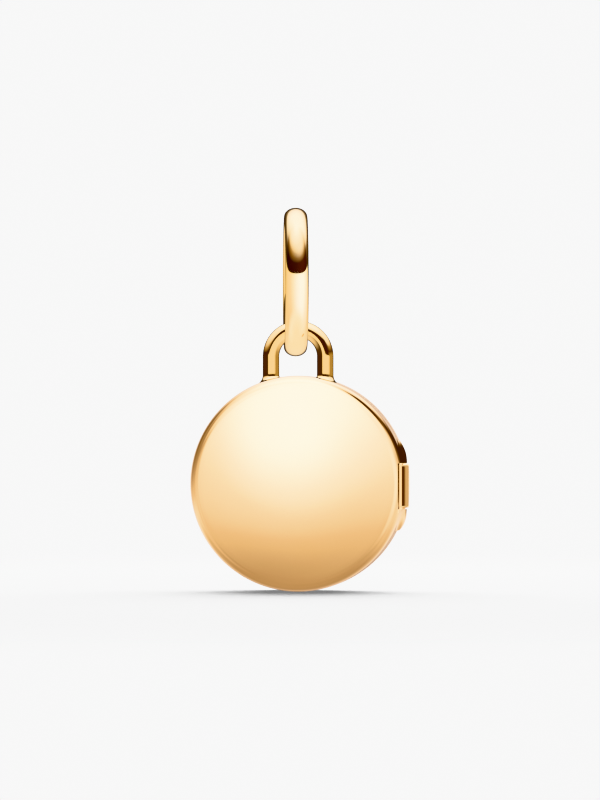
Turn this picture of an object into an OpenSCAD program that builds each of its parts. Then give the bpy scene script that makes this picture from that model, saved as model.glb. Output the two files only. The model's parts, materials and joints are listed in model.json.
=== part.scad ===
// Round locket charm: a hinged two-shell case with a soldered eye, hanging from a loose ring-shaped bail.
// All sizes are millimetres. X runs across the case, Y through its thickness, Z up.
// The origin is the inner top of the bail, where a chain lies when the charm is worn.
// The plain face looks towards -Y, and the hinge is on the +X side.

/* [Case] */
// Diameter of the round case
case_d = 14.5; // [13.5:0.1:16]
// Thickness of the closed case, over both domed faces
case_t = 5.3; // [5.2:0.1:6.4]
// Thickness of each shell's wall
shell_wall = 0.42; // [0.36:0.02:0.5]
// Radius of the edge between a face and the side of the case
edge_r = 0.4; // [0.3:0.05:0.5]
// Height of each face's dome above its rounded edge
dome_h = 0.3; // [0.2:0.05:0.4]
// Gap between the closed shells along the parting line
parting_gap = 0.06; // [0.04:0.01:0.1]

/* [Closing rim] */
// Thickness of the rim that stands inside the cover
rim_t = 0.2; // [0.16:0.02:0.26]
// Height of the rim past the parting plane
rim_h = 0.5; // [0.3:0.1:0.7]
// Clearance between the rim and the cover's wall
rim_play = 0.04; // [0.03:0.01:0.06]

/* [Eye] */
// Diameter of the round wire of the eye
eye_wire_d = 1.12; // [1:0.04:1.2]
// Width of the gap between the legs of the eye
eye_gap_w = 2.55; // [2.4:0.05:2.8]
// Height of the arch's centre above the top of the case
eye_rise = 1.3; // [1:0.1:1.6]
// Distance from the parting plane to the middle of the eye
eye_set = 0.8; // [0.75:0.05:1.2]
// How much wider each foot is where it is soldered to the case
eye_flare = 0.22; // [0.1:0.02:0.3]

/* [Bail] */
// Outer diameter of the bail
bail_d = 10; // [9.6:0.1:10.6]
// Width of the bail's band, along the bore
bail_w = 1.56; // [1.4:0.02:1.7]
// Thickness of the bail's band, along the radius
bail_t = 1.2; // [1.16:0.02:1.3]
// Radius of the domes across the band, inside and outside
bail_crown_r = 0.95; // [0.9:0.01:1.1]
// Radius of the band's rounded corners
bail_corner_r = 0.4; // [0.34:0.02:0.44]
// Angle by which the bail hangs turned from square to the eye
bail_turn = 8; // [0:1:8]
// Gap between the bail and the eye's arch where the case hangs
bail_play = 0.07; // [0.05:0.01:0.12]

/* [Hinge] */
// Diameter of the hinge barrel
barrel_d = 1.24; // [1.14:0.02:1.3]
// Depth of the hinge axis inside the outline of the case
barrel_inset = 0.47; // [0.42:0.01:0.5]
// Height of the hinge's middle below the middle of the case
hinge_drop = 0.15; // [0:0.05:0.3]
// Height of the cover's knuckle
knuckle_h = 2.85; // [2.6:0.05:3.1]
// Gap between each end of the knuckle and the boss beside it
knuckle_gap = 0.12; // [0.08:0.01:0.2]
// Radius of the knuckle's rounded ends
knuckle_edge_r = 0.14; // [0.08:0.02:0.2]
// Height of the straight part of each boss
boss_h = 0.3; // [0.2:0.05:0.5]
// Height over which each boss rounds off into the case
taper_h = 0.9; // [0.7:0.05:1]
// Radius of that rounding
taper_r = 1.1; // [1.05:0.05:1.4]
// Clearance around the barrel in the opposite shell
barrel_play = 0.06; // [0.05:0.01:0.08]
// Diameter of the hinge pin
pin_d = 0.5; // [0.44:0.02:0.56]
// Radial clearance of the pin in the bosses
pin_seat_play = 0.02; // [0.01:0.005:0.03]
// Radial clearance of the pin in the knuckle
pin_run_play = 0.04; // [0.03:0.005:0.06]

/* [Hidden] */
$fn = 96;
gold = "#e9bd6e";
past = 1;
bail_out_r = bail_d / 2;
bail_in_r = bail_out_r - bail_t;
bail_mid_z = -bail_in_r;
eye_wire_r = eye_wire_d / 2;
eye_mean_r = (eye_gap_w + eye_wire_d) / 2;
eye_bar_z = -2 * bail_in_r + bail_play + eye_wire_r;
eye_arch_z = eye_bar_z - eye_mean_r;
case_r = case_d / 2;
case_mid_z = eye_arch_z - eye_rise - case_r;
half_t = case_t / 2;
shell_in_r = case_r - shell_wall;
edge_mid_r = case_r - edge_r;
edge_depth = dome_h + edge_r;
dome_r = (pow(edge_mid_r, 2) + pow(edge_depth, 2) - pow(edge_r, 2)) / (2 * dome_h);
rim_out_r = shell_in_r - rim_play;
rim_in_r = rim_out_r - rim_t;
rim_root_h = 0.9;
foot_h = 0.6;
barrel_r = barrel_d / 2;
room_r = barrel_r + barrel_play;
hinge_x = case_r - barrel_inset;
pocket_h = knuckle_h + 2 * knuckle_gap;
boss_top = pocket_h / 2 + boss_h;
pin_r = pin_d / 2;
pin_h = 2 * boss_top + 0.5;
seat_t = 0.45;
seat_x = case_r - edge_r;
seat_h = pocket_h + 1.5;
seat_depth = half_t - edge_depth;

// Moves a piece drawn round the middle of the case, parting plane at Y 0, to its place
module at_case() {
    translate([0, eye_set, case_mid_z])
        children();
}

// Moves a piece drawn round the hinge's middle to its place in the case
module at_hinge() {
    translate([hinge_x, 0, -hinge_drop])
        children();
}

// Half section of a closed domed shape: X is the radius, Y the height above the parting plane
module domed_half() {
    lean = atan2(edge_mid_r, dome_r - edge_depth);
    reach = dome_r * 1.1;
    union() {
        intersection() {
            translate([0, half_t - dome_r])
                circle(r = dome_r, $fn = 720);
            polygon([
                [0, half_t - dome_r],
                [reach * sin(lean), half_t - dome_r + reach * cos(lean)],
                [0, half_t - dome_r + reach]
            ]);
            translate([0, parting_gap / 2])
                square([case_r, half_t]);
        }
        translate([edge_mid_r, half_t - edge_depth])
            circle(r = edge_r);
        translate([0, parting_gap / 2])
            square([case_r, half_t - edge_depth - parting_gap / 2]);
    }
}

// Half section of the hollow inside one shell
module hollow_half() {
    intersection() {
        translate([0, half_t - dome_r])
            circle(r = dome_r - shell_wall, $fn = 720);
        translate([0, -past])
            square([shell_in_r, half_t + past]);
    }
}

// One domed shell, open at the parting plane, with its face towards +Z
module shell_body() {
    rotate_extrude()
        domed_half();
}

module shell_hollow() {
    rotate_extrude()
        hollow_half();
}

// Ring drawn round Z
module ring(outer_r, inner_r, low, high) {
    translate([0, 0, low])
        difference() {
            cylinder(r = outer_r, h = high - low);
            translate([0, 0, -past])
                cylinder(r = inner_r, h = high - low + 2 * past);
        }
}

// Rim inside the eye shell that stands in the cover when the locket is closed
module closing_rim() {
    ring(rim_out_r, rim_in_r, -rim_h, parting_gap);
    ring(shell_in_r + shell_wall / 2, rim_in_r, parting_gap, rim_root_h);
}

// Arch of round wire with two straight legs, feet soldered to the top of the case
module eye() {
    leg_low = sqrt(pow(shell_in_r, 2) - pow(eye_mean_r, 2));
    leg_top = case_r + eye_rise;
    foot_low = case_r - foot_h;
    translate([0, -eye_set, leg_top])
        rotate([90, 0, 0])
            rotate_extrude(angle = 180)
                translate([eye_mean_r, 0])
                    circle(r = eye_wire_r);
    for (side = [-1, 1])
        translate([side * eye_mean_r, -eye_set, 0]) {
            translate([0, 0, leg_low])
                cylinder(r = eye_wire_r, h = leg_top - leg_low);
            translate([0, 0, foot_low])
                cylinder(r1 = eye_wire_r + eye_flare, r2 = eye_wire_r, h = foot_h + eye_flare);
        }
}

// Boss at one end of the barrel, drawn upwards from the end of the knuckle's pocket
module boss(grow) {
    rotate_extrude()
        union() {
            translate([0, pocket_h / 2 - grow])
                square([barrel_r + grow, boss_h + grow]);
            intersection() {
                translate([barrel_r - taper_r, boss_top])
                    circle(r = taper_r + grow);
                translate([0, boss_top])
                    square([barrel_r + grow, taper_h + grow]);
            }
        }
}

module bosses(grow = 0) {
    for (flip = [0, 1])
        mirror([0, 0, flip])
            boss(grow);
}

// Thick place inside the eye shell's wall, behind the knuckle
module hinge_seat() {
    translate([seat_x - seat_t, -seat_depth, -hinge_drop - seat_h / 2])
        cube([seat_t, seat_depth - parting_gap / 2, seat_h]);
}

// Pocket cut in the eye shell for the cover's knuckle
module knuckle_room() {
    at_hinge()
        cylinder(r = room_r, h = pocket_h, center = true);
    translate([seat_x, -half_t - past, -hinge_drop - pocket_h / 2])
        cube([edge_r + past, half_t + past, pocket_h]);
}

// Barrel of the cover, with rounded ends
module knuckle() {
    rotate_extrude()
        union() {
            translate([0, -knuckle_h / 2])
                square([barrel_r - knuckle_edge_r, knuckle_h]);
            translate([0, -knuckle_h / 2 + knuckle_edge_r])
                square([barrel_r, knuckle_h - 2 * knuckle_edge_r]);
            for (end = [-1, 1])
                translate([barrel_r - knuckle_edge_r, end * (knuckle_h / 2 - knuckle_edge_r)])
                    circle(r = knuckle_edge_r);
        }
}

// Oval section of the bail's band: X is the radius from the bail's axis, Y runs across the band
module band_section() {
    corner_y = bail_w / 2 - bail_corner_r;
    crown_rise = sqrt(pow(bail_crown_r - bail_corner_r, 2) - pow(corner_y, 2));
    lean = atan2(corner_y, crown_rise);
    reach = bail_crown_r * 1.5;
    corner_x = bail_t / 2 - bail_crown_r + crown_rise;
    translate([(bail_out_r + bail_in_r) / 2, 0])
        union() {
            for (flip = [0, 1])
                mirror([flip, 0])
                    translate([bail_t / 2 - bail_crown_r, 0])
                        intersection() {
                            circle(r = bail_crown_r);
                            polygon([
                                [0, 0],
                                [reach * cos(lean), -reach * sin(lean)],
                                [reach * cos(lean), reach * sin(lean)]
                            ]);
                        }
            for (flip_x = [-1, 1], flip_y = [-1, 1])
                translate([flip_x * corner_x, flip_y * corner_y])
                    circle(r = bail_corner_r);
            square([2 * corner_x, bail_w], center = true);
            square([2 * corner_x + bail_corner_r, 2 * corner_y], center = true);
        }
}

// Loose ring that a chain runs through
module bail() {
    color(gold)
        translate([0, 0, bail_mid_z])
            rotate([0, 0, bail_turn])
                rotate([0, 90, 0])
                    rotate_extrude()
                        band_section();
}

// Plain half of the case, one piece with the eye, the closing rim and the hinge's bosses
module eye_shell() {
    color(gold)
        at_case()
            difference() {
                union() {
                    difference() {
                        union() {
                            rotate([90, 0, 0])
                                shell_body();
                            eye();
                        }
                        rotate([90, 0, 0])
                            shell_hollow();
                    }
                    rotate([90, 0, 0])
                        closing_rim();
                    hinge_seat();
                    at_hinge()
                        bosses();
                }
                knuckle_room();
                at_hinge()
                    cylinder(r = pin_r + pin_seat_play, h = pin_h + knuckle_gap, center = true);
            }
}

// Other half of the case, one piece with the hinge's knuckle
module cover_shell() {
    color(gold)
        at_case()
            difference() {
                union() {
                    difference() {
                        rotate([-90, 0, 0])
                            shell_body();
                        rotate([-90, 0, 0])
                            shell_hollow();
                    }
                    at_hinge()
                        knuckle();
                }
                at_hinge()
                    bosses(barrel_play);
                at_hinge()
                    cylinder(r = pin_r + pin_run_play, h = pocket_h, center = true);
            }
}

// Plain pin through both bosses and the knuckle
module hinge_pin() {
    color(gold)
        at_case()
            at_hinge()
                cylinder(r = pin_r, h = pin_h, center = true);
}

bail();
eye_shell();
cover_shell();
hinge_pin();
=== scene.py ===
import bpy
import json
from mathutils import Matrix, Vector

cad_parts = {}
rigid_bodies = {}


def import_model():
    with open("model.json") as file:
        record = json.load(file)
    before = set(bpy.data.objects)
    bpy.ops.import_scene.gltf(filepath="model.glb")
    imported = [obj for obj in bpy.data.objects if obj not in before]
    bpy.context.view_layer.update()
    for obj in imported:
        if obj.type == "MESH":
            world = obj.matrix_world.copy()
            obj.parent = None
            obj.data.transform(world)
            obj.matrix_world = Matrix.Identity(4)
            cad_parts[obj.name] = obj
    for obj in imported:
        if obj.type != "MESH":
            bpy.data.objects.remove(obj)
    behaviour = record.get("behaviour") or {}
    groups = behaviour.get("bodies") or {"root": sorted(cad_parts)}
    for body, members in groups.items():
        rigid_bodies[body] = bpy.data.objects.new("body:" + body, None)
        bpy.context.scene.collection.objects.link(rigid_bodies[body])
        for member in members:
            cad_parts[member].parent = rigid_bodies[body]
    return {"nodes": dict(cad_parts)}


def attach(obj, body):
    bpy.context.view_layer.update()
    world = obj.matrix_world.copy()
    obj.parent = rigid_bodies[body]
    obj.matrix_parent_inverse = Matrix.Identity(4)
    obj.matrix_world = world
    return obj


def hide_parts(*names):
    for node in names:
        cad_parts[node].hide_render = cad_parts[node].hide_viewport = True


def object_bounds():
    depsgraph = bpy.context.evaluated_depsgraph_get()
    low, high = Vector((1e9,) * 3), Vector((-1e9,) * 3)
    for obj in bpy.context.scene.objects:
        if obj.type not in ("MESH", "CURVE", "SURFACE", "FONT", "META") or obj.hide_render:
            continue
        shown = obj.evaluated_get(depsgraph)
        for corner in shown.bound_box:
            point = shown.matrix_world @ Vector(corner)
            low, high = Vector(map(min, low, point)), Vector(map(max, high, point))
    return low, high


bl_info = {
    "name": "Round locket charm",
    "version": (1, 0, 0),
    "blender": (4, 5, 0),
    "location": "3D View > Sidebar > Locket",
    "description": "Models a polished round locket charm around its packed frame",
    "category": "Add Mesh",
}

import json
import math

import bmesh
import bpy
from bpy.props import FloatProperty, FloatVectorProperty, PointerProperty
from mathutils import Vector

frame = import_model()
cad_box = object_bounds()

MM = 0.001
MERGE = 1e-7
SHARP_EDGE = math.radians(40)
PIXEL = 0.0674 * MM
PICTURE_HEIGHT = 800
FLOOR_Z = cad_box[0].z


def linear(hex_colour):
    """Linear RGB of an sRGB hex colour."""
    parts = [int(hex_colour[i : i + 2], 16) / 255 for i in (1, 3, 5)]
    return tuple(c / 12.92 if c <= 0.04045 else ((c + 0.055) / 1.055) ** 2.4 for c in parts)


def length(label, about, millimetres):
    """A size that the sidebar shows as a distance."""
    return FloatProperty(
        name=label, description=about, default=millimetres * MM, unit="LENGTH", precision=5
    )


def angle_setting(label, about, degrees):
    """An angle that the sidebar shows in degrees."""
    return FloatProperty(name=label, description=about, default=math.radians(degrees), subtype="ANGLE")


def colour_setting(label, about, hex_colour):
    """A colour that the sidebar shows as a swatch."""
    return FloatVectorProperty(
        name=label, description=about, default=linear(hex_colour), size=3, min=0, max=1, subtype="COLOR"
    )


class LocketBail(bpy.types.PropertyGroup):
    """The loose ring that the chain runs through."""

    diameter: length("Diameter", "Outer diameter of the ring", 10.0)
    width: length("Width", "Width of the band along the bore", 1.56)
    thickness: length("Thickness", "Thickness of the band along the radius", 1.2)
    slip: length("Slip", "How far the loose ring hangs to the left of the middle", 0.17)
    turn: angle_setting("Turn", "How far the ring hangs turned from square to the eye", 8)


class LocketCase(bpy.types.PropertyGroup):
    """The two shells of the case."""

    diameter: length("Diameter", "Diameter of the round case", 14.5)
    thickness: length("Thickness", "Thickness of the closed case", 5.3)
    wall: length("Wall", "Thickness of each shell", 0.42)
    dome_radius: length("Dome radius", "Radius of the shallow dome of each face", 78.75)
    shoulder: length("Shoulder", "Width of the soft curve from face to side, across the face", 0.72)
    shoulder_depth: length("Shoulder depth", "How far the soft curve runs down the side", 1.45)
    gap: length("Parting gap", "Gap between the closed shells", 0.06)
    lip: length("Lip", "Radius of the rounded lips along the parting line", 0.05)
    middle_y: length("Parting plane", "Distance of the parting plane behind the origin", 0.8)
    middle_z: length("Middle height", "Height of the middle of the case", -17.355)
    rim_gap: length("Rim gap", "Clearance between the closing rim and the cover", 0.04)
    rim_wall: length("Rim thickness", "Thickness of the closing rim", 0.2)
    rim_reach: length("Rim reach", "How far the rim stands into the cover", 0.5)
    rim_root: length("Rim root", "Depth of the rim inside the plain half", 0.9)


class LocketEye(bpy.types.PropertyGroup):
    """The soldered eye on top of the plain half."""

    wire: length("Wire", "Diameter of the round wire", 1.12)
    gap: length("Gap", "Width of the gap between the legs", 2.55)
    arch_z: length("Arch height", "Height of the centre of the arch", -8.805)
    solder: length("Solder fillet", "Radius of the solder fillet round each foot", 0.26)


class LocketHinge(bpy.types.PropertyGroup):
    """The barrel hinge on the side of the case."""

    axis_x: length("Axis", "Distance of the hinge axis from the middle of the case", 6.78)
    middle_z: length("Middle height", "Height of the middle of the barrel", -17.505)
    barrel: length("Barrel", "Diameter of the barrel", 1.24)
    pocket: length("Pocket height", "Height of the pocket that holds the knuckle", 3.09)
    knuckle: length("Knuckle height", "Height of the cover's knuckle", 2.85)
    boss: length("Boss height", "Height of the straight part of each boss", 0.3)
    taper: length("Taper radius", "Radius on which each boss rounds off into the case", 1.5)
    play: length("Play", "Clearance around the barrel", 0.06)
    boss_room: length("Boss room", "Room that the cover leaves round each boss, for its blend too", 0.33)
    swell: length("Swell", "Reach of the soft blend between the bosses and the case", 0.55)
    boss_width: length("Boss width", "Diameter of each boss", 0.86)
    pin: length("Pin hole", "Diameter of the pin's hole", 0.54)


class LocketFinish(bpy.types.PropertyGroup):
    """Colours and polish of the gold plate."""

    gold: colour_setting("Gold", "Colour of the polished plate where it reflects straight back", "#ffe2aa")
    deep_gold: colour_setting("Deep gold", "Colour of the slightly richer patches in the plate", "#fddea2")
    roughness: FloatProperty(
        name="Roughness", description="Roughness of the polished plate", default=0.045, min=0, max=1
    )


class LocketStage(bpy.types.PropertyGroup):
    """The floor, the light and the camera."""

    paper: FloatVectorProperty(
        name="Paper",
        description="Colour of the paper that the camera sees behind the locket",
        default=(1.45, 1.45, 1.45),
        size=3,
        min=0,
        max=4,
    )
    camera_turn: angle_setting("Camera turn", "How far the camera stands to the hinge's side", 6.7)
    camera_distance: length("Camera distance", "Distance of the camera from the case", 300)
    axis_z: length("Camera height", "Height of the camera and of what it looks at", -11.727)


def deselect():
    """Leaves edit mode and selects nothing."""
    if bpy.context.object and bpy.context.object.mode != "OBJECT":
        bpy.ops.object.mode_set(mode="OBJECT")
    bpy.ops.object.select_all(action="DESELECT")


def empty_piece(name):
    """A new object at the origin, in edit mode, with nothing in its mesh."""
    deselect()
    bpy.ops.mesh.primitive_plane_add(size=MM, location=(0, 0, 0))
    piece = bpy.context.object
    piece.name = name
    piece.data.name = name
    bpy.ops.object.mode_set(mode="EDIT")
    bpy.ops.mesh.select_all(action="SELECT")
    bpy.ops.mesh.delete(type="VERT")
    return piece


def extrude(move):
    """Extrudes what is selected and moves it."""
    bpy.ops.mesh.extrude_region_move(TRANSFORM_OT_translate={"value": move})


def draw_outline(points):
    """Starts at the first point and extrudes a chain of edges through the rest."""
    bpy.ops.mesh.primitive_plane_add(size=MM, location=points[0])
    bpy.ops.mesh.merge(type="CENTER")
    for last, point in zip(points, points[1:]):
        extrude(point - last)


def close_up():
    """Merges doubled points and turns all faces outwards."""
    bpy.ops.mesh.select_all(action="SELECT")
    bpy.ops.mesh.remove_doubles(threshold=MERGE)
    bpy.ops.mesh.normals_make_consistent(inside=False)


def lathe(name, points, centre, axis, steps):
    """Spins an outline that starts and ends on the axis, or closes on itself."""
    piece = empty_piece(name)
    draw_outline(points)
    bpy.ops.mesh.select_all(action="SELECT")
    bpy.ops.mesh.spin(steps=steps, angle=2 * math.pi, center=centre, axis=axis)
    close_up()
    bpy.ops.object.mode_set(mode="OBJECT")
    return piece


def select_only(piece):
    """Selects one piece and makes it active."""
    deselect()
    piece.select_set(True)
    bpy.context.view_layer.objects.active = piece


def cut(piece, cutter, operation="DIFFERENCE"):
    """Cuts the cutter out of the piece, or joins it on, and removes the cutter."""
    select_only(piece)
    bpy.ops.object.modifier_add(type="BOOLEAN")
    boolean = piece.modifiers[-1]
    boolean.object = cutter
    boolean.operation = operation
    boolean.solver = "EXACT"
    bpy.ops.object.modifier_apply(modifier=boolean.name)
    bpy.data.objects.remove(cutter)


def finish_piece(piece, body, nodes, mirrored=True):
    """Smooth shading, the polished plate unless it has a finish, and the piece's place in the frame.

    mirrored says whether the other pieces show it in their shine. No piece throws light on the paper.
    """
    select_only(piece)
    bpy.ops.object.shade_smooth_by_angle(angle=SHARP_EDGE)
    if len(piece.data.materials) == 0:
        piece.data.materials.append(polished_gold_plate())
    piece.visible_glossy = mirrored
    piece.visible_diffuse = False
    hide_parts(*nodes)
    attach(piece, body)
    deselect()


def add_node(tree, kind, links=None, **settings):
    """Adds a node, sets its properties and inputs, and links inputs to other outputs."""
    node = tree.nodes.new("ShaderNode" + kind)
    for key, value in settings.items():
        setattr(node, key, value)
    for key, value in (links or {}).items():
        if isinstance(value, bpy.types.NodeSocket):
            tree.links.new(value, node.inputs[key])
        else:
            node.inputs[key].default_value = value
    return node


def blank_material(name):
    """A material with an empty node tree, and that tree."""
    material = bpy.data.materials.new(name)
    material.use_nodes = True
    material.node_tree.nodes.clear()
    return material, material.node_tree


NOISE_SPAN = {"From Min": 0.3, "From Max": 0.7}
WAVE_PERIOD = 0.314


def plated_surface(tree, colour, roughness, relief, strength):
    """A surface of pure metal, with a relief of 4 micrometres times its strength."""
    depth = 0.004 * MM
    height = relief.outputs["Fac"]
    bump = add_node(tree, "Bump", {"Height": height, "Strength": strength, "Distance": depth})
    links = {
        "Base Color": colour.outputs["Result"],
        "Roughness": roughness.outputs["Result"],
        "Normal": bump.outputs["Normal"],
        "Metallic": 1.0,
    }
    shader = add_node(tree, "BsdfPrincipled", links)
    add_node(tree, "OutputMaterial", {"Surface": shader.outputs["BSDF"]})


def polished_gold_plate():
    """Gold plate over silver, buffed to a mirror: the eye reads it by what it reflects."""
    finish = bpy.context.scene.locket_finish
    name = "polished_gold_plate"
    if name in bpy.data.materials:
        return bpy.data.materials[name]
    material, tree = blank_material(name)
    place = add_node(tree, "TexCoord").outputs["Object"]
    # Patches of slightly richer gold, as an uneven plating bath leaves them
    patch = 4 * MM
    patches = add_node(
        tree, "TexNoise", {"Vector": place, "Scale": 1 / patch, "Detail": 2.0, "Roughness": 0.5}
    )
    colour = add_node(
        tree,
        "Mix",
        {"Factor": patches.outputs["Fac"], "A": (*finish.gold, 1), "B": (*finish.deep_gold, 1)},
        data_type="RGBA",
    )
    # Buffing leaves a faint haze with a fine grain
    grain = 0.3 * MM
    clearest = finish.roughness * 0.8
    haziest = finish.roughness * 1.4
    haze = add_node(
        tree, "TexNoise", {"Vector": place, "Scale": 1 / grain, "Detail": 4.0, "Roughness": 0.6}
    )
    roughness = add_node(
        tree,
        "MapRange",
        {"Value": haze.outputs["Fac"], **NOISE_SPAN, "To Min": clearest, "To Max": haziest},
    )
    # Polishing by hand leaves long waves, less than a micrometre deep
    wave = 2 * MM
    waves = add_node(tree, "TexNoise", {"Vector": place, "Scale": 1 / wave, "Detail": 1.0})
    plated_surface(tree, colour, roughness, waves, 0.25)
    return material


def turned_gold_plate():
    """The inside of the shells, turned and plated but not buffed: fine rings and a satin shine."""
    finish = bpy.context.scene.locket_finish
    case = bpy.context.scene.locket_case
    name = "turned_satin_gold_plate"
    if name in bpy.data.materials:
        return bpy.data.materials[name]
    material, tree = blank_material(name)
    place = add_node(tree, "TexCoord").outputs["Object"]
    centred = add_node(
        tree, "Mapping", {"Vector": place, "Location": (0, -case.middle_y, -case.middle_z)}
    )
    # Turning marks, where a wave's rings repeat every WAVE_PERIOD / scale metres
    marks = 0.12 * MM
    rings = add_node(
        tree,
        "TexWave",
        {
            "Vector": centred.outputs["Vector"],
            "Scale": WAVE_PERIOD / marks,
            "Distortion": 0.6,
            "Detail": 2.0,
            "Detail Scale": 0.5,
        },
        wave_type="RINGS",
        rings_direction="Y",
    )
    cloud_size = 1.5 * MM
    cloud = add_node(tree, "TexNoise", {"Vector": place, "Scale": 1 / cloud_size, "Detail": 3.0})
    roughness = add_node(
        tree,
        "MapRange",
        {"Value": cloud.outputs["Fac"], **NOISE_SPAN, "To Min": 0.2, "To Max": 0.3},
    )
    colour = add_node(
        tree,
        "Mix",
        {"Factor": rings.outputs["Fac"], "A": (*finish.deep_gold, 1), "B": (*finish.gold, 1)},
        data_type="RGBA",
    )
    plated_surface(tree, colour, roughness, rings, 0.35)
    return material


TURN_STEPS = 480
BARREL_TURN_STEPS = 96
FACE_STEPS = 22
SHOULDER_STEPS = 30
SHOULDER_FULLNESS = 0.8
SIDE_STEPS = 14
LIP_STEPS = 4
ROOF_STEPS = 12
POCKET_DEPTH = 0.4 * MM


def case_and_hinge():
    """The sizes of the case and of its hinge."""
    return bpy.context.scene.locket_case, bpy.context.scene.locket_hinge


def face_height(case, radius):
    """Height of the domed face over the parting plane."""
    return case.thickness / 2 - case.dome_radius + math.sqrt(case.dome_radius**2 - radius**2)


def roof_height(case, radius):
    """Height of the inside of the domed face over the parting plane."""
    base = case.thickness / 2 - case.dome_radius
    return base + math.sqrt((case.dome_radius - case.wall) ** 2 - radius**2)


def shoulder_curve(case):
    """Points of the soft shoulder from the dome to the side, as radius and height."""
    start = case.diameter / 2 - case.shoulder
    top = face_height(case, start)
    slope = start / math.sqrt(case.dome_radius**2 - start**2)
    points = [(start, top)]
    for i in range(1, SHOULDER_STEPS + 1):
        angle = math.pi / 2 * i / SHOULDER_STEPS
        across = case.shoulder * math.sin(angle) ** SHOULDER_FULLNESS
        down = case.shoulder_depth * (1 - max(math.cos(angle), 0) ** SHOULDER_FULLNESS) + slope * across
        points.append((start + across, top - down))
    return points


def outer_outline(case):
    """The outside of one shell, from the middle of its face to its lip at the parting plane."""
    shoulder = shoulder_curve(case)
    side = case.diameter / 2
    low = case.gap / 2
    first = shoulder[0][0]
    points = [(0.0, case.thickness / 2)]
    radii = [first * i / FACE_STEPS for i in range(1, FACE_STEPS)]
    points += [(radius, face_height(case, radius)) for radius in radii]
    points += shoulder
    high = points[-1][1]
    drop = low + case.lip - high
    points += [(side, high + drop * i / SIDE_STEPS) for i in range(1, SIDE_STEPS + 1)]
    for i in range(1, LIP_STEPS + 1):
        angle = math.radians(90 / LIP_STEPS * i)
        points.append((side - case.lip * (1 - math.cos(angle)), low + case.lip * (1 - math.sin(angle))))
    return points


def rounded(corners, radius, steps=3):
    """An open outline whose inner corners are rounded."""
    made = [Vector(corners[0])]
    for before, corner, after in zip(corners, corners[1:], corners[2:]):
        corner = Vector(corner)
        back = (Vector(before) - corner).normalized()
        on = (Vector(after) - corner).normalized()
        half = back.angle(on) / 2
        room = [(Vector(other) - corner).length / 2 for other in (before, after)]
        reach = min(radius / math.tan(half), *room)
        centre = corner + (back + on).normalized() * (reach / math.cos(half))
        start = corner + back * reach
        end = corner + on * reach
        for i in range(steps + 1):
            mix = start.lerp(end, i / steps) - centre
            made.append(centre + mix.normalized() * (start - centre).length)
    made.append(Vector(corners[-1]))
    return [(p.x, p.y) for p in made]


def inner_outline(case, corners):
    """The inside of one shell, from the lip to the middle of the inner face."""
    inside = case.diameter / 2 - case.wall
    roof_edge = inside * 0.9
    edge_round = 0.06 * MM
    corner_round = 0.3 * MM
    top = roof_height(case, inside)
    points = rounded(corners + [(inside, top - 0.4 * MM)], edge_round)[:-1]
    corner = [(inside, case.rim_root), (inside, top), (roof_edge, roof_height(case, roof_edge))]
    points += rounded(corner, corner_round)[1:]
    radii = [roof_edge * i / ROOF_STEPS for i in range(ROOF_STEPS - 1, -1, -1)]
    points += [(radius, roof_height(case, radius)) for radius in radii]
    return points


def past_straight(hinge, height):
    """How far a height over the hinge's middle lies past the straight part of a boss."""
    return max(abs(height) - (hinge.pocket / 2 + hinge.boss), 0)


def boss_room_radius(hinge, height):
    """Radius of the room round a boss at a height over the hinge's middle."""
    past = past_straight(hinge, height)
    reach = hinge.taper + hinge.boss_room
    if past >= reach:
        return 0.0
    return max(hinge.boss_width / 2 - hinge.taper + math.sqrt(reach**2 - past**2), 0.0)


def distance_to_bosses(hinge, along, height):
    """Distance from the bosses, from the distance to their axis and the height over their middle."""
    past = past_straight(hinge, height)
    return math.hypot(along - hinge.boss_width / 2 + hinge.taper, past) - hinge.taper


def distance_to_knuckle(hinge, along, height):
    """Distance from the knuckle, from the distance to its axis and the height over its middle."""
    out = along - hinge.barrel / 2
    up = abs(height) - hinge.knuckle / 2
    if out > 0 and up > 0:
        return math.hypot(out, up)
    return max(out, up)


def blend_distance(one, other, reach):
    """The lesser of two distances, rounded where they are nearly the same."""
    near = max(reach - abs(one - other), 0) / reach
    return min(one, other) - near * near * reach / 4


def swell_over_barrel(piece, side, distance, share, stretch):
    """Pushes the outside of a shell out until it covers a part of the barrel with a soft blend.

    distance measures from that part. share scales the blend, and stretch draws the part out towards
    the face, so that the shoulder swells with it.
    """
    case, hinge = case_and_hinge()
    reach = hinge.swell * share
    nearest_x = 5.0 * MM
    farthest_z = 3.4 * MM
    outer_wall = case.diameter / 2 - case.wall * 0.7
    over_roof = 0.2 * MM
    farthest = 0.9 * MM
    halvings = 40
    # The push is radial up to 1.2 mm from the parting plane, and then turns to the face's normal
    radial_until = 1.2
    turning_over = 0.6

    def gap_left(vert, way, travel):
        point = vert.co + way * travel
        along = math.hypot(point.x - hinge.axis_x, (point.y - case.middle_y) / stretch)
        return blend_distance(travel, distance(hinge, along, point.z - hinge.middle_z), reach)

    mesh = bmesh.new()
    mesh.from_mesh(piece.data)
    mesh.normal_update()
    for vert in mesh.verts:
        across = vert.co.x
        up = vert.co.z - case.middle_z
        deep = (vert.co.y - case.middle_y) * side
        if across < nearest_x or abs(vert.co.z - hinge.middle_z) > farthest_z:
            continue
        radius = math.hypot(across, up)
        if radius < outer_wall and deep < roof_height(case, radius) + over_roof:
            continue
        radial = Vector((across / radius, 0, up / radius))
        tilt = min(max(deep / MM - radial_until, 0) / turning_over, 1)
        way = (radial * (1 - tilt) + vert.normal * tilt).normalized()
        low = 0.0
        high = farthest
        if gap_left(vert, way, low) >= 0 or gap_left(vert, way, high) <= 0:
            continue
        for _ in range(halvings):
            middle = (low + high) / 2
            if gap_left(vert, way, middle) > 0:
                high = middle
            else:
                low = middle
        vert.co = vert.co + way * high
    mesh.to_mesh(piece.data)
    mesh.free()
    piece.data.update()


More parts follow.
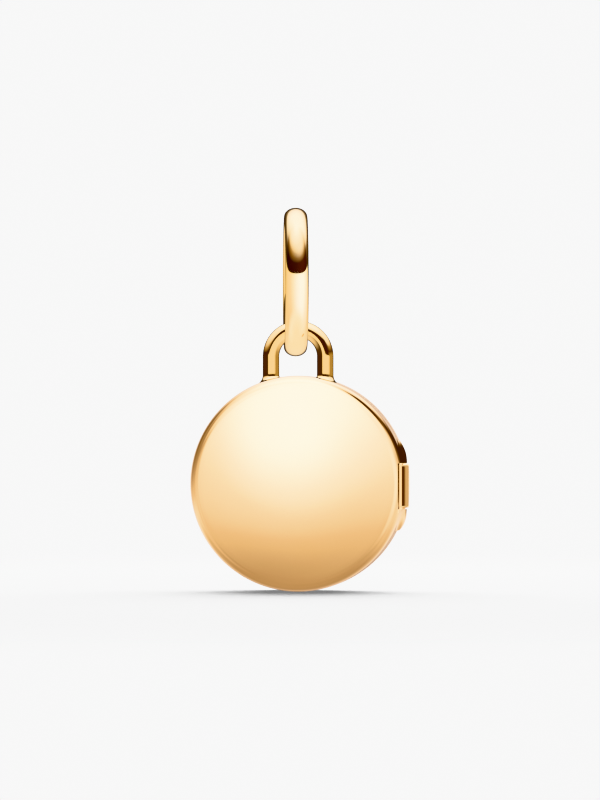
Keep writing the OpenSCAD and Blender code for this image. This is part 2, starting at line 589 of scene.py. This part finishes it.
def plate_shell(piece, side):
    """Gives a shell its two finishes, the turned one where a face looks into the hollow."""
    case = bpy.context.scene.locket_case
    inside = case.diameter / 2 - case.wall
    hair = 0.01 * MM
    hollow_from = 0.9 * MM
    over_roof = 0.05 * MM
    facing = 0.5
    for material in (polished_gold_plate(), turned_gold_plate()):
        piece.data.materials.append(material)
    for face in piece.data.polygons:
        x, y, z = face.center
        radius = math.hypot(x, z - case.middle_z)
        deep = (y - case.middle_y) * side
        looks_in = -(face.normal.x * x + face.normal.z * (z - case.middle_z)) / max(radius, MERGE)
        roof = face_height(case, min(radius, inside)) - case.wall
        in_hollow = radius < inside + hair and hollow_from < deep < roof + over_roof
        if in_hollow and (looks_in > facing or face.normal.y * side < -facing):
            face.material_index = 1


def shell(name, side, inner_corners):
    """Lathes one shell. side is -1 for the plain half, whose face looks to -Y, and 1 for the cover."""
    case = bpy.context.scene.locket_case
    outline = outer_outline(case) + inner_outline(case, inner_corners)
    points = [Vector((radius, case.middle_y + side * high, case.middle_z)) for radius, high in outline]
    centre = (0, case.middle_y, case.middle_z)
    return lathe(name, points, centre, (0, 1, 0), TURN_STEPS)


def barrel_lathe(name, outline):
    """Lathes a piece of the hinge round its axis, from radii and heights over its middle."""
    case, hinge = case_and_hinge()
    centre = Vector((hinge.axis_x, case.middle_y, hinge.middle_z))
    points = [centre + Vector((radius, 0, high)) for radius, high in outline]
    return lathe(name, points, centre, (0, 0, 1), BARREL_TURN_STEPS)


def pocket_cutter():
    """A keyhole outline drawn up through the plain half where the knuckle turns."""
    case, hinge = case_and_hinge()
    room = hinge.barrel / 2 + hinge.play
    floor_x = case.diameter / 2 - POCKET_DEPTH
    past = 1.0 * MM
    aside = floor_x - hinge.axis_x
    start = math.atan2(-math.sqrt(room**2 - aside**2), aside)
    outline = [(floor_x, -case.thickness / 2 - past)]
    turns = 56
    sweep = -(2 * math.pi + start)
    for i in range(turns + 1):
        angle = start + sweep * i / turns
        outline.append((hinge.axis_x + room * math.cos(angle), room * math.sin(angle)))
    outline += [(floor_x + 2 * past, 0.0), (floor_x + 2 * past, -case.thickness / 2 - past)]
    low = hinge.middle_z - hinge.pocket / 2
    points = [Vector((x, case.middle_y + y, low)) for x, y in outline]
    cutter = empty_piece("pocket_cutter")
    draw_outline(points)
    bpy.ops.mesh.select_all(action="SELECT")
    bpy.ops.mesh.edge_face_add()
    extrude((0, 0, hinge.pocket))
    close_up()
    bpy.ops.object.mode_set(mode="OBJECT")
    return cutter


def box_piece(name, low, high):
    """A box between two corners, for joining to a piece."""
    piece = empty_piece(name)
    bpy.ops.mesh.primitive_cube_add(size=1, location=(0, 0, 0))
    size = [b - a for a, b in zip(low, high)]
    bpy.ops.transform.resize(value=size)
    bpy.ops.transform.translate(value=[(a + b) / 2 for a, b in zip(low, high)])
    bpy.ops.object.mode_set(mode="OBJECT")
    return piece


def select_ring(piece, middle, height, radius):
    """Selects only the ring of vertices at one height round an upright line."""
    bpy.ops.mesh.select_mode(type="VERT")
    bpy.ops.mesh.select_all(action="DESELECT")
    slack = 1.01
    mesh = bmesh.from_edit_mesh(piece.data)
    for vert in mesh.verts:
        near = (vert.co.xy - middle).length < radius * slack
        vert.select = near and abs(vert.co.z - height) < MERGE
    mesh.select_flush(True)
    bmesh.update_edit_mesh(piece.data)


class LOCKET_OT_bail(bpy.types.Operator):
    """Spins an oval section into the loose ring"""

    bl_idname = "locket.bail"
    bl_label = "Bail ring"

    def execute(self, context):
        bail = context.scene.locket_bail
        ring_r = (bail.diameter - bail.thickness) / 2
        centre = Vector((0, 0, -(bail.diameter / 2 - bail.thickness)))
        top = centre + Vector((0, 0, ring_r))
        piece = empty_piece("bail_ring")
        bpy.ops.mesh.primitive_circle_add(
            vertices=112, radius=bail.thickness / 2, location=top, rotation=(math.pi / 2, 0, 0)
        )
        bpy.ops.transform.resize(value=(bail.width / bail.thickness, 1, 1), center_override=top)
        bpy.ops.mesh.spin(steps=TURN_STEPS, angle=2 * math.pi, center=centre, axis=(1, 0, 0))
        close_up()
        bpy.ops.transform.rotate(value=-bail.turn, orient_axis="Z", center_override=centre)
        bpy.ops.transform.translate(value=(-bail.slip, 0, 0))
        bpy.ops.object.mode_set(mode="OBJECT")
        front = min(piece.data.vertices, key=lambda vert: vert.co.y)
        if front.co.x < 0:
            raise RuntimeError("the bail is turned the wrong way")
        finish_piece(piece, "bail", ["bail"], mirrored=False)
        return {"FINISHED"}


class LOCKET_OT_eye(bpy.types.Operator):
    """Sweeps round wire into the arch and flows its feet onto the case"""

    bl_idname = "locket.eye"
    bl_label = "Eye"

    def execute(self, context):
        eye = context.scene.locket_eye
        case = context.scene.locket_case
        wire_r = eye.wire / 2
        leg_x = (eye.gap + eye.wire) / 2
        side_r = case.diameter / 2
        leg_steps = 6
        fillet_steps = 10
        buried_steps = 3
        buried_step = 0.1 * MM
        sunk = 0.003 * MM
        nudge = 0.01 * MM
        forward = 0.06 * MM
        flatten = 0.9

        def case_top(x):
            return case.middle_z + math.sqrt(side_r**2 - x**2)

        piece = empty_piece("eye_loop")
        bpy.ops.mesh.primitive_circle_add(vertices=96, radius=wire_r, location=(-leg_x, 0, eye.arch_z))
        bpy.ops.mesh.spin(steps=144, angle=math.pi, center=(0, 0, eye.arch_z), axis=(0, -1, 0))
        leg_top = case_top(leg_x) + eye.solder
        for side in (-1, 1):
            middle = Vector((side * leg_x, 0))
            reach = Vector((wire_r, wire_r))
            select_ring(piece, middle, eye.arch_z, wire_r)
            leg_step = (leg_top - eye.arch_z) / leg_steps
            for _ in range(leg_steps):
                extrude((0, 0, leg_step))
            for i in range(1, fillet_steps + buried_steps + 1):
                share = min(i / fillet_steps, 1)
                angle = share * math.pi / 2
                spread = 1 - math.cos(angle)
                buried = max(i - fillet_steps, 0) * buried_step
                lift = eye.solder * (1 - math.sin(angle)) - buried - sunk
                level = leg_top - eye.solder + lift
                extrude((0, 0, -nudge))
                new_middle = Vector((side * leg_x, -forward * spread))
                wider = eye.solder * spread
                new_reach = Vector((wire_r + wider, wire_r + wider * flatten))
                mesh = bmesh.from_edit_mesh(piece.data)
                for vert in mesh.verts:
                    if vert.select:
                        across = (vert.co.x - middle.x) / reach.x
                        deep = (vert.co.y - middle.y) / reach.y
                        x = new_middle.x + across * new_reach.x
                        y = new_middle.y + deep * new_reach.y
                        vert.co = (x, y, level * (1 - share) + (case_top(x) + lift) * share)
                bmesh.update_edit_mesh(piece.data)
                middle = new_middle
                reach = new_reach
            bpy.ops.mesh.edge_face_add()
        close_up()
        bpy.ops.object.mode_set(mode="OBJECT")
        finish_piece(piece, "case", ["eye_shell"], mirrored=False)
        return {"FINISHED"}


class LOCKET_OT_plain_half(bpy.types.Operator):
    """Lathes the plain half, swells it over the hinge and cuts the knuckle's pocket"""

    bl_idname = "locket.plain_half"
    bl_label = "Plain half"

    def execute(self, context):
        case, hinge = case_and_hinge()
        inside = case.diameter / 2 - case.wall
        rim_out = inside - case.rim_gap
        rim_in = rim_out - case.rim_wall
        side = case.diameter / 2
        low = case.gap / 2
        corners = [
            (side - case.lip, low),
            (rim_out, low),
            (rim_out, -case.rim_reach),
            (rim_in, -case.rim_reach),
            (rim_in, case.rim_root),
            (inside, case.rim_root),
        ]
        piece = shell("plain_half", -1, corners)
        swell_over_barrel(piece, -1, distance_to_bosses, 1.0, 1.6)
        seat_x = case.diameter / 2 - POCKET_DEPTH
        seat_inner_x = seat_x - 0.45 * MM
        seat_outer_x = seat_x + 0.06 * MM
        seat_front_y = case.middle_y - 1.95 * MM
        seat_back_y = case.middle_y - low - 0.01 * MM
        seat_half = 1.75 * MM
        seat = box_piece(
            "hinge_seat",
            (seat_inner_x, seat_front_y, hinge.middle_z - seat_half),
            (seat_outer_x, seat_back_y, hinge.middle_z + seat_half),
        )
        cut(piece, seat, "UNION")
        cut(piece, pocket_cutter())
        plate_shell(piece, -1)
        finish_piece(piece, "case", ["eye_shell"], mirrored=False)
        return {"FINISHED"}


class LOCKET_OT_bosses(bpy.types.Operator):
    """Lathes the two bosses that hold the hinge pin"""

    bl_idname = "locket.bosses"
    bl_label = "Hinge bosses"

    def execute(self, context):
        hinge = context.scene.locket_hinge
        hair = 0.004 * MM
        edge_round = 0.08 * MM
        tip_steps = 24
        barrel_r = hinge.boss_width / 2 - hair
        start = hinge.pocket / 2
        straight = start + hinge.boss
        hole = hinge.pin / 2
        hole_end = straight + 0.31 * MM
        tip = math.sqrt(hinge.taper**2 - (hinge.taper - barrel_r) ** 2)
        bored = [(0.0, hole_end), (hole, hole_end), (hole, start)]
        outline = rounded(bored + [(barrel_r, start), (barrel_r, straight)], edge_round, 4)
        for i in range(1, tip_steps):
            past = tip * i / tip_steps
            radius = barrel_r - hinge.taper + math.sqrt(hinge.taper**2 - past**2)
            outline.append((radius, straight + past))
        outline.append((0.0, straight + tip))
        for name, flip in (("hinge_boss_upper", 1), ("hinge_boss_lower", -1)):
            piece = barrel_lathe(name, [(radius, flip * high) for radius, high in outline])
            finish_piece(piece, "case", ["eye_shell"])
        return {"FINISHED"}


class LOCKET_OT_cover_half(bpy.types.Operator):
    """Lathes the cover, cuts the rooms that it leaves for the bosses, and adds its knuckle"""

    bl_idname = "locket.cover_half"
    bl_label = "Cover half"

    def execute(self, context):
        case, hinge = case_and_hinge()
        inside = case.diameter / 2 - case.wall
        corners = [(case.diameter / 2 - case.lip, case.gap / 2), (inside, case.gap / 2)]
        piece = shell("cover_half", 1, corners)
        swell_over_barrel(piece, 1, distance_to_knuckle, 0.6, 1.0)
        room_steps = 20
        start = hinge.pocket / 2 - hinge.play
        straight = hinge.pocket / 2 + hinge.boss
        boss_r = hinge.boss_width / 2
        tip = math.sqrt((hinge.taper + hinge.boss_room) ** 2 - (hinge.taper - boss_r) ** 2)
        outline = [(0.0, start), (boss_r + hinge.boss_room, start)]
        heights = [straight + tip * i / room_steps for i in range(room_steps)]
        outline += [(boss_room_radius(hinge, height), height) for height in heights]
        outline.append((0.0, straight + tip))
        for flip in (1, -1):
            cut(piece, barrel_lathe("boss_room", [(radius, flip * high) for radius, high in outline]))
        plate_shell(piece, 1)
        finish_piece(piece, "cover", ["cover_shell"], mirrored=False)
        hole = hinge.pin / 2 + 0.02 * MM
        half = hinge.knuckle / 2
        barrel_r = hinge.barrel / 2
        edge_round = 0.14 * MM
        loop = [(hole, 0.0), (hole, half), (barrel_r, half), (barrel_r, -half), (hole, -half), (hole, 0.0)]
        knuckle = barrel_lathe("cover_knuckle", rounded(loop, edge_round, 5))
        finish_piece(knuckle, "cover", ["cover_shell"])
        return {"FINISHED"}


class LOCKET_OT_hinge_pin(bpy.types.Operator):
    """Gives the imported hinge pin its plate"""

    bl_idname = "locket.hinge_pin"
    bl_label = "Hinge pin"

    def execute(self, context):
        pin = frame["nodes"]["hinge_pin"]
        if len(pin.material_slots) == 0:
            pin.data.materials.append(polished_gold_plate())
        for place in pin.material_slots:
            place.material = polished_gold_plate()
        return {"FINISHED"}


class LOCKET_OT_stage(bpy.types.Operator):
    """Lays the pale floor, sets the studio light and places the camera"""

    bl_idname = "locket.stage"
    bl_label = "Floor, light and camera"

    def execute(self, context):
        stage = context.scene.locket_stage
        light_paper(context.scene, stage)
        lay_floor()
        light_case()
        light_knuckle()
        light_bail()
        light_eye()
        aim_camera(context.scene, stage)
        context.scene.view_settings.view_transform = "Khronos PBR Neutral"
        return {"FINISHED"}


def levels_along(tree, value, low, high, stops):
    """Levels of light along a value from low to high.

    A stop is a value and its level, or a value and its red, green and blue.
    """
    place = add_node(tree, "MapRange", {"Value": value, "From Min": low, "From Max": high})
    node = add_node(tree, "ValToRGB", {"Fac": place.outputs["Result"]})
    ramp = node.color_ramp
    while len(ramp.elements) > 1:
        ramp.elements.remove(ramp.elements[-1])
    for index, (stop, *levels) in enumerate(stops):
        position = (stop - low) / (high - low)
        element = ramp.elements[0] if index == 0 else ramp.elements.new(position)
        element.position = position
        element.color = (*(levels * 3)[:3], 1)
    return node.outputs["Color"]


def light_paper(scene, stage):
    """Even white light on the floor, and plain paper behind the locket."""
    world = bpy.data.worlds.new("white_paper_room")
    scene.world = world
    world.use_nodes = True
    tree = world.node_tree
    tree.nodes.clear()
    room_light = 0.1
    even = add_node(tree, "Background", {"Color": (1, 1, 1, 1), "Strength": room_light})
    dark = add_node(tree, "Background", {"Color": (0, 0, 0, 1), "Strength": 0.0})
    paper = add_node(tree, "Background", {"Color": (*stage.paper, 1), "Strength": 1.0})
    path = add_node(tree, "LightPath")
    shown = dark
    for ray, light in (("Is Diffuse Ray", even), ("Is Camera Ray", paper)):
        links = {0: path.outputs[ray], 1: shown.outputs[0], 2: light.outputs[0]}
        shown = add_node(tree, "MixShader", links)
    add_node(tree, "OutputWorld", {"Surface": shown.outputs[0]})


def lay_floor():
    """White paper under the locket, which thins out where nothing casts a shadow on it."""
    paper_radius = 90 * MM
    full_until = 30 * MM
    gone_from = 80 * MM
    below = 0.004 * MM
    lamp_width = 620 * MM
    lamp_depth = 350 * MM
    lamp_back = 160 * MM
    lamp_height = 225 * MM
    deselect()
    bpy.ops.mesh.primitive_circle_add(
        vertices=96, radius=paper_radius, fill_type="NGON", location=(0, 0, FLOOR_Z - below)
    )
    floor = bpy.context.object
    floor.name = "paper_floor"
    material, tree = blank_material("white_paper")
    place = add_node(tree, "TexCoord").outputs["Object"]
    away = add_node(tree, "VectorMath", {0: place}, operation="LENGTH").outputs["Value"]
    fade = add_node(
        tree,
        "MapRange",
        {"Value": away, "From Min": full_until, "From Max": gone_from},
        interpolation_type="SMOOTHSTEP",
    )
    paper = add_node(tree, "BsdfDiffuse", {"Color": (0.7, 0.7, 0.7, 1)})
    clear = add_node(tree, "BsdfTransparent")
    links = {0: fade.outputs["Result"], 1: paper.outputs[0], 2: clear.outputs[0]}
    mix = add_node(tree, "MixShader", links)
    add_node(tree, "OutputMaterial", {"Surface": mix.outputs[0]})
    floor.data.materials.append(material)
    floor.visible_glossy = False
    lamp_data = bpy.data.lights.new("back_softbox", "AREA")
    lamp_data.shape = "RECTANGLE"
    lamp_data.size = lamp_width
    lamp_data.size_y = lamp_depth
    lamp_data.energy = 3.75
    lamp = bpy.data.objects.new("back_softbox", lamp_data)
    bpy.context.scene.collection.objects.link(lamp)
    lamp.location = (0, lamp_back, FLOOR_Z + lamp_height)
    lamp.rotation_euler = (-math.atan2(lamp_back, lamp_height), 0, 0)
    lamp.visible_glossy = False
    lamp.visible_camera = False


def light_tent(name, centre, radius, lit, paint):
    """A tent of translucent light round some pieces, which only their reflections show.

    lit holds how the names of those pieces begin. paint gets the node tree, the direction from the
    centre, and its azimuth and elevation in degrees, and gives back the colour of the light. Azimuth 0
    is in front and 90 at the hinge's side.
    """
    deselect()
    bpy.ops.mesh.primitive_uv_sphere_add(segments=48, ring_count=24, radius=radius, location=centre)
    tent = bpy.context.object
    tent.name = name
    bpy.ops.object.transform_apply(location=True, rotation=True, scale=True)
    material, tree = blank_material(name)
    place = add_node(tree, "TexCoord").outputs["Object"]
    away = add_node(tree, "VectorMath", {0: place, 1: centre}, operation="SUBTRACT")
    way = add_node(tree, "VectorMath", {0: away.outputs[0]}, operation="NORMALIZE").outputs[0]
    x, y, z = add_node(tree, "SeparateXYZ", {"Vector": way}).outputs
    rise = add_node(tree, "Math", {0: z}, operation="ARCSINE")
    ahead = add_node(tree, "Math", {0: y, 1: -1.0}, operation="MULTIPLY")
    bearing = add_node(tree, "Math", {0: x, 1: ahead.outputs[0]}, operation="ARCTAN2")
    azimuth, height = [
        add_node(tree, "Math", {0: turn.outputs[0]}, operation="DEGREES").outputs[0]
        for turn in (bearing, rise)
    ]
    glow = paint(tree, way, azimuth, height)
    light = add_node(tree, "Emission", {"Color": glow, "Strength": 1.0})
    clear = add_node(tree, "BsdfTransparent")
    both = add_node(tree, "AddShader", {0: light.outputs[0], 1: clear.outputs[0]})
    add_node(tree, "OutputMaterial", {"Surface": both.outputs[0]})
    tent.data.materials.append(material)
    for ray in ("camera", "diffuse", "shadow", "transmission", "volume_scatter"):
        setattr(tent, "visible_" + ray, False)
    receivers = bpy.data.collections.new(name + "_lights")
    for piece in bpy.data.objects:
        if piece.type == "MESH" and piece.name.startswith(lit):
            receivers.objects.link(piece)
    tent.light_linking.receiver_collection = receivers


def panel_share(tree, way, azimuth, height, middle, edge):
    """How much of a round soft panel lies in a direction, from 0 outside it to 1 in its even middle."""
    turn = math.radians(azimuth)
    tilt = math.radians(height)
    outside = math.radians(middle + edge)
    aim = Vector((math.sin(turn) * math.cos(tilt), -math.cos(turn) * math.cos(tilt), math.sin(tilt)))
    cosine = add_node(tree, "VectorMath", {0: way, 1: aim}, operation="DOT_PRODUCT")
    angle = add_node(tree, "Math", {0: cosine.outputs["Value"]}, operation="ARCCOSINE")
    share = add_node(
        tree,
        "MapRange",
        {"Value": angle.outputs[0], "From Min": outside, "From Max": math.radians(middle)},
        interpolation_type="SMOOTHSTEP",
    )
    return share.outputs["Result"]


def soft_panels(sky, panels):
    """Paints round soft panels, brighter or dimmer than the sky behind them.

    sky holds levels of light by elevation. A panel is its azimuth, elevation, the radius of its even
    middle, the width of its soft edge, all in degrees, and its level.
    """

    def paint(tree, way, azimuth, height):
        level = levels_along(tree, height, -90, 90, sky)
        for *place, panel_level in panels:
            share = panel_share(tree, way, *place)
            level = add_node(tree, "Mix", {"Factor": share, "A": level, "B": panel_level})
            level = level.outputs["Result"]
        return cloth_colour(tree, level)

    return paint


def dark_behind(paint, middle, edge):
    """Hangs a dark flag straight behind a piece, which draws a thin line along its outline.

    middle and edge are the radius of the flag's even middle and the width of its soft edge.
    """
    behind = -173
    horizon = 0
    flag = (0.08, 0.05, 0.03, 1)

    def flagged(tree, way, azimuth, height):
        glow = paint(tree, way, azimuth, height)
        share = panel_share(tree, way, behind, horizon, middle, edge)
        mixed = add_node(tree, "Mix", {"Factor": share, "A": glow, "B": flag}, data_type="RGBA")
        return mixed.outputs["Result"]

    return flagged


def cloth_colour(tree, level):
    """Colour of the light by its level: reddish where nearly dark, cool white where bright."""
    tones = [
        (0.0, 0.0, 0.0), (0.05, 0.01, 0.002), (0.15, 0.07, 0.02), (0.3, 0.2, 0.12), (0.57, 0.41, 0.32),
        (0.81, 0.63, 0.52), (1.04, 0.84, 0.71), (1.22, 1.08, 1.02), (1.65, 1.55, 1.58), (2.2, 2.2, 2.4),
        (3.0, 3.1, 3.5), (4.2, 4.6, 5.5), (6.0, 7.0, 9.0), (9.0, 10.5, 13.5),
    ]
    return levels_along(tree, level, 0.0, 9.0, [(tone[0], *tone) for tone in tones])


def plain_walls(front, left, right, swing, mask):
    """Paints a wall in front and one at each side, by elevation.

    swing tints the front by azimuth near the horizon, and mask says how far round the front reaches.
    """
    tint_until = 35
    plain_from = 60
    right_side = [(-179, 0.5), (-165, 0), (-1, 0), (1, 1), (165, 1), (179, 0.5)]

    def paint(tree, way, azimuth, height):
        walls = [levels_along(tree, height, -90, 90, wall) for wall in (front, left, right)]
        turns = [levels_along(tree, azimuth, -180, 180, stops) for stops in (swing, mask, right_side)]
        before, to_left, to_right = walls
        tint, reach, half = turns
        steep = add_node(tree, "Math", {0: height}, operation="ABSOLUTE")
        overhead = add_node(
            tree,
            "MapRange",
            {"Value": steep.outputs[0], "From Min": tint_until, "From Max": plain_from},
            interpolation_type="SMOOTHSTEP",
        )
        links = {"Factor": overhead.outputs["Result"], "A": tint, "B": (1, 1, 1, 1)}
        tint = add_node(tree, "Mix", links, data_type="RGBA").outputs["Result"]
        tinted = add_node(tree, "VectorMath", {0: before, 1: tint}, operation="MULTIPLY")
        links = {"Factor": half, "A": to_left, "B": to_right}
        beside = add_node(tree, "Mix", links, data_type="RGBA").outputs["Result"]
        links = {"Factor": reach, "A": beside, "B": tinted.outputs[0]}
        return add_node(tree, "Mix", links, data_type="RGBA").outputs["Result"]

    return paint


def light_case():
    """The tent of the case: a window above and before it, dark flags behind, a dim floor in front."""
    case = bpy.context.scene.locket_case
    sky = [
        (-90, 0.54), (-50, 0.56), (-30, 0.83), (-15, 1.55), (0, 1.09), (15, 0.74), (35, 3.46),
        (55, 4.45), (90, 8.0),
    ]
    panels = [
        (2, -55, 40, 19, 0.58), (11, 29, 9, 40, 7.37), (-5, 8, 0, 15, 8.57), (-123, 23, 6, 37, 0.26),
        (-84, 25, 0, 50, 0.4), (134, 16, 11, 14, 0.06), (123, 45, 9, 28, 0.06), (24, -17, 11, 37, 0.65),
        (174, -10, 6, 9, 0.75), (-50, -18, 0, 30, 1.07), (81, -5, 2, 60, 1.23), (43, 14, 8, 43, 2.54),
        (152, 6, 9, 8, 0.05), (-169, -15, 3, 16, 0.32), (175, 26, 0, 5, 0.68),
    ]
    centre = (0, case.middle_y, case.middle_z)
    lit = ("plain_half", "hinge_", "cover_half")
    light_tent("case_tent", centre, 100 * MM, lit, soft_panels(sky, panels))


def light_knuckle():
    """The tent of the knuckle: upright bands of cream, dark and gold."""
    case, hinge = case_and_hinge()
    front = [(-60, 1.6), (-35, 1.0), (35, 1.0), (60, 1.6)]
    left = [(-35, 1.9, 1.8, 1.75), (35, 1.9, 1.8, 1.75)]
    right = [(-35, 0.75, 0.58, 0.45), (35, 0.75, 0.58, 0.45)]
    swing = [
        (-60, 1.4, 1.25, 1.15), (0, 2.0, 1.9, 1.9), (24, 1.9, 1.7, 1.6), (34, 0.1, 0.03, 0.008),
        (64, 0.09, 0.025, 0.006), (76, 0.5, 0.36, 0.25), (90, 0.75, 0.58, 0.45),
    ]
    mask = [(-100, 0), (-80, 1), (90, 1), (110, 0)]
    centre = (hinge.axis_x, case.middle_y, hinge.middle_z)
    walls = plain_walls(front, left, right, swing, mask)
    light_tent("knuckle_tent", centre, 90 * MM, ("cover_knuckle",), walls)


def light_bail():
    """The tent of the bail: a bright wall in front, brighter to the right, and a dark gap above it."""
    bail = bpy.context.scene.locket_bail
    above = [(55, 2.1, 2.1, 2.2), (69, 3.4, 3.6, 4.1), (90, 6.0, 6.8, 8.5)]
    front = [
        (-80, 2.3, 2.2, 2.0), (-55, 2.2, 2.3, 2.5), (-35, 2.8, 3.0, 3.8), (0, 3.0, 3.3, 4.2),
        (10, 3.4, 3.6, 4.0), (11, 0.045, 0.005, 0.001), (28, 0.05, 0.008, 0.001), (35, 0.3, 0.2, 0.13),
        (42, 0.7, 0.6, 0.55),
    ]
    beside = [
        (-80, 2.3, 2.2, 2.0), (-45, 2.0, 1.9, 1.7), (-15, 1.3, 1.1, 0.85), (-2, 0.5, 0.35, 0.2),
        (4, 0.08, 0.05, 0.03), (16, 0.06, 0.03, 0.01), (28, 0.5, 0.4, 0.3), (38, 3.0, 3.0, 3.2),
        (55, 5.0, 5.5, 6.5), (90, 6.0, 6.8, 8.5),
    ]
    swing = [
        (-90, 0.55, 0.42, 0.22), (-45, 0.8, 0.62, 0.34), (-20, 0.9, 0.82, 0.62), (0, 1.0),
        (33, 1.5, 1.6, 1.8), (60, 1.6, 1.7, 1.8), (90, 1.2, 1.1, 0.9),
    ]
    mask = [(-140, 0), (-90, 1), (95, 1), (122, 0)]
    centre = (0, 0, -(bail.diameter / 2 - bail.thickness))
    walls = plain_walls(front + above, beside, beside, swing, mask)
    light_tent("bail_tent", centre, 120 * MM, ("bail",), dark_behind(walls, middle=15, edge=19))


def light_eye():
    """The tent of the eye: cream from above, warm before it, dark between and beside."""
    eye = bpy.context.scene.locket_eye
    above = [(46, 2.6, 2.6, 2.7), (65, 4.0, 4.3, 5.0)]
    front = [
        (-80, 2.0, 1.8, 1.5), (-30, 1.8, 1.6, 1.2), (1.5, 1.75, 1.5, 1.05), (2.6, 0.06, 0.01, 0.001),
        (29, 0.05, 0.008, 0.001), (35, 1.2, 1.1, 0.9), (41, 2.2, 2.2, 2.2),
    ]
    below = [(-70, 2.0, 1.8, 1.5), (-40, 1.2, 1.0, 0.75)]
    beside = [
        (-14, 0.1, 0.05, 0.02), (7, 0.06, 0.012, 0.002), (14, 0.6, 0.42, 0.22), (28, 1.8, 1.7, 1.6),
    ]
    warm = [
        (-14, 0.6, 0.44, 0.25), (4, 0.5, 0.34, 0.15), (10, 0.08, 0.02, 0.004), (20, 0.6, 0.42, 0.22),
        (28, 1.8, 1.7, 1.6),
    ]
    swing = [(-90, 0.8), (0, 1.0), (90, 1.0)]
    mask = [(-36, 0), (-26, 1), (50, 1), (75, 0)]
    walls = plain_walls(front + above, below + beside + above, below + warm + above, swing, mask)
    tent = dark_behind(walls, middle=40, edge=20)
    light_tent("eye_tent", (0, 0, eye.arch_z), 140 * MM, ("eye_",), tent)


def aim_camera(scene, stage):
    """A level camera at the photograph's angle, with its axis through the middle of the picture."""
    turn = stage.camera_turn
    right = Vector((math.cos(turn), math.sin(turn), 0))
    back = Vector((math.sin(turn), -math.cos(turn), 0))
    half_pixel = 0.5 * PIXEL
    target = Vector((0, scene.locket_case.middle_y, stage.axis_z)) + right * half_pixel
    camera_data = bpy.data.cameras.new("camera")
    camera_data.sensor_width = 36
    camera_data.lens = camera_data.sensor_width * stage.camera_distance / (PICTURE_HEIGHT * PIXEL)
    camera_data.clip_start = 0.01
    camera_data.clip_end = 10
    camera_data.dof.use_dof = False
    camera = bpy.data.objects.new("camera", camera_data)
    scene.collection.objects.link(camera)
    camera.location = target + back * stage.camera_distance
    camera.rotation_euler = (math.pi / 2, 0, turn)
    scene.camera = camera


class LOCKET_PT_panel(bpy.types.Panel):
    """Lists the locket's sizes and the steps that make it"""

    bl_label = "Round locket charm"
    bl_idname = "LOCKET_PT_panel"
    bl_space_type = "VIEW_3D"
    bl_region_type = "UI"
    bl_category = "Locket"

    def draw(self, context):
        for group in GROUPS:
            box = self.layout.box()
            box.label(text=group)
            values = getattr(context.scene, group)
            for prop in values.bl_rna.properties:
                if prop.identifier not in ("rna_type", "name"):
                    box.prop(values, prop.identifier)
        for step in STEPS:
            self.layout.operator(step.bl_idname)


GROUPS = {
    "locket_bail": LocketBail,
    "locket_case": LocketCase,
    "locket_eye": LocketEye,
    "locket_hinge": LocketHinge,
    "locket_finish": LocketFinish,
    "locket_stage": LocketStage,
}
STEPS = (
    LOCKET_OT_bail,
    LOCKET_OT_eye,
    LOCKET_OT_plain_half,
    LOCKET_OT_bosses,
    LOCKET_OT_cover_half,
    LOCKET_OT_hinge_pin,
    LOCKET_OT_stage,
)
CLASSES = (*GROUPS.values(), *STEPS, LOCKET_PT_panel)


def register():
    for each in CLASSES:
        bpy.utils.register_class(each)
    for name, group in GROUPS.items():
        setattr(bpy.types.Scene, name, PointerProperty(type=group))


def unregister():
    for name in GROUPS:
        delattr(bpy.types.Scene, name)
    for each in reversed(CLASSES):
        bpy.utils.unregister_class(each)


def main():
    register()
    bpy.ops.locket.bail()
    bpy.ops.locket.eye()
    bpy.ops.locket.plain_half()
    bpy.ops.locket.bosses()
    bpy.ops.locket.cover_half()
    bpy.ops.locket.hinge_pin()
    bpy.ops.locket.stage()


if __name__ == "__main__":
    main()
